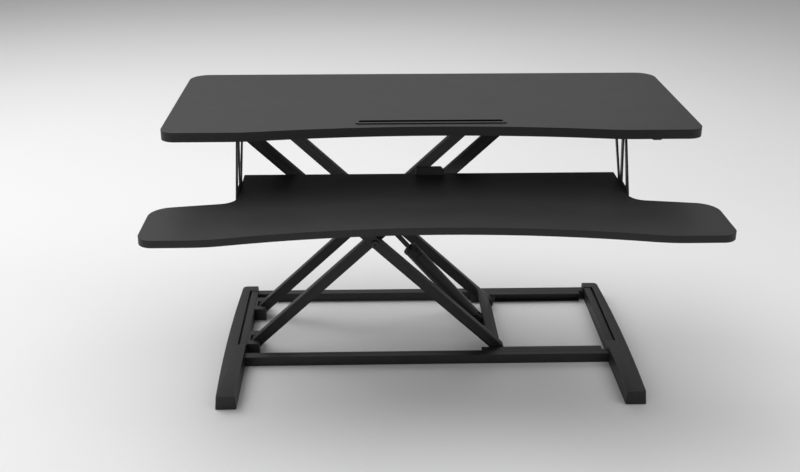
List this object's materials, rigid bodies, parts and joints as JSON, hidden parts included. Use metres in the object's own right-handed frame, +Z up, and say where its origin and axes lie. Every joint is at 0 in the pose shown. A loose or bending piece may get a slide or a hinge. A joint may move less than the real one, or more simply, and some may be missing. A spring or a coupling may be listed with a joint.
{
  "type": "standing desk converter",
  "caption": "Height adjustable desktop platform on a gas spring scissor frame, with a hung keyboard tray, a device slot and a wide base.",
  "frame": {"origin": "on the ground under the middle of the whole converter's box, fully raised", "axes": "+X to the user's right along the desktop's length, +Y away from the user, +Z up"},
  "size_m": [0.968, 0.608, 0.506],
  "materials": {
    "laminate_black": "satin",
    "steel_black": "satin",
    "plastic_black": "matte",
    "rubber_black": "matte",
    "nylon_grey": "satin",
    "zinc_black": "satin",
    "rod_black": "satin",
    "cast_black": "satin"
  },
  "bodies": {
    "base": {"foot_left": "steel_black", "foot_right": "steel_black", "foot_pads": "rubber_black", "front_crossbar": "steel_black", "rear_crossbar": "steel_black", "foot_screws": "zinc_black", "side_rail_left": "steel_black", "side_rail_right": "steel_black", "lower_hinge_block_front": "steel_black", "lower_hinge_block_rear": "steel_black", "lower_hinge_pins": "zinc_black", "lower_track_front": "steel_black", "lower_track_rear": "steel_black", "track_end_caps": "plastic_black"},
    "arm_a": {"arm_a_front": "steel_black", "arm_a_rear": "steel_black", "centre_tube": "steel_black", "centre_bolts": "zinc_black", "centre_washers": "nylon_grey", "spring_lever_plates": "steel_black", "spring_top_bolts": "zinc_black"},
    "arm_b": {"arm_b_front": "steel_black", "arm_b_rear": "steel_black", "lower_cross_plate": "steel_black", "spring_foot_ears": "steel_black", "spring_foot_pin": "zinc_black"},
    "lower_carriage": {"lower_shoe_front": "nylon_grey", "lower_shoe_rear": "nylon_grey", "lower_axle": "zinc_black", "axle_spacers": "zinc_black"},
    "upper_carriage": {"upper_slide_blocks": "nylon_grey", "upper_slide_pins": "zinc_black"},
    "desktop": {"desktop_board": "laminate_black", "upper_rail_front": "steel_black", "upper_rail_rear": "steel_black", "upper_bar_left": "steel_black", "upper_bar_right": "steel_black", "upper_hinge_block_front": "steel_black", "upper_hinge_block_rear": "steel_black", "upper_hinge_pins": "zinc_black", "upper_track_front": "steel_black", "upper_track_rear": "steel_black", "frame_screws": "zinc_black", "tray_board": "laminate_black", "tray_hanger_left": "steel_black", "tray_hanger_right": "steel_black", "hanger_screws": "zinc_black", "tray_clip": "plastic_black", "lever_bracket": "steel_black", "lever_pin": "zinc_black", "lever_return_spring": "zinc_black"},
    "lever": {"release_lever": "plastic_black"},
    "spring_cylinder_body": {"spring_cylinder": "steel_black", "spring_cylinder_eye": "cast_black", "spring_guide_cap": "steel_black"},
    "spring_rod_body": {"spring_rod": "rod_black", "spring_piston": "zinc_black", "release_head": "cast_black"}
  },
  "joints": [
    {"name": "fold", "type": "hinge", "parent": "base", "child": "arm_a", "pos_m": [-0.3487, 0.128, 0.0144], "axis": [0, 1, 0], "range_deg": [0, 33.1]},
    {"name": "scissor_centre", "type": "hinge", "parent": "arm_a", "child": "arm_b", "pos_m": [-0.10282, 0.128, 0.2453], "axis": [0, 1, 0], "range_deg": [-66.2, 0]},
    {"name": "desktop_level", "type": "hinge", "parent": "arm_b", "child": "desktop", "pos_m": [-0.3487, 0.128, 0.47619], "axis": [0, 1, 0], "range_deg": [0, 33.1]},
    {"name": "lower_carriage_level", "type": "hinge", "parent": "arm_b", "child": "lower_carriage", "pos_m": [0.14306, 0.128, 0.0144], "axis": [0, 1, 0], "range_deg": [0, 33.1]},
    {"name": "upper_carriage_level", "type": "hinge", "parent": "arm_a", "child": "upper_carriage", "pos_m": [0.14306, 0.128, 0.47619], "axis": [0, 1, 0], "range_deg": [-33.1, 0]},
    {"name": "spring_swing", "type": "hinge", "parent": "arm_b", "child": "spring_cylinder_body", "pos_m": [0.10627, 0.092, 0.04168], "axis": [0, 1, 0], "range_deg": [0, 3.93]},
    {"name": "spring_stroke", "type": "slide", "parent": "spring_cylinder_body", "child": "spring_rod_body", "axis": [-0.6543, 0, 0.7562], "range_m": [-0.04447, 0]},
    {"name": "lever_squeeze", "type": "hinge", "parent": "desktop", "child": "lever", "pos_m": [0.4, -0.022, 0.481], "axis": [-1, 0, 0], "range_deg": [0, 9], "stiffness_Nm_per_rad": 0.8, "springref_deg": -8.59}
  ],
  "couplings": [
    {"joint": "scissor_centre", "follows": "fold", "ratio": -2},
    {"joint": "desktop_level", "follows": "fold", "ratio": 1},
    {"joint": "lower_carriage_level", "follows": "fold", "ratio": 1},
    {"joint": "upper_carriage_level", "follows": "fold", "ratio": -1},
    {"joint": "spring_swing", "follows": "fold", "ratio": 0.11881},
    {"joint": "spring_stroke", "follows": "fold", "m_per_rad": -0.076964}
  ]
}
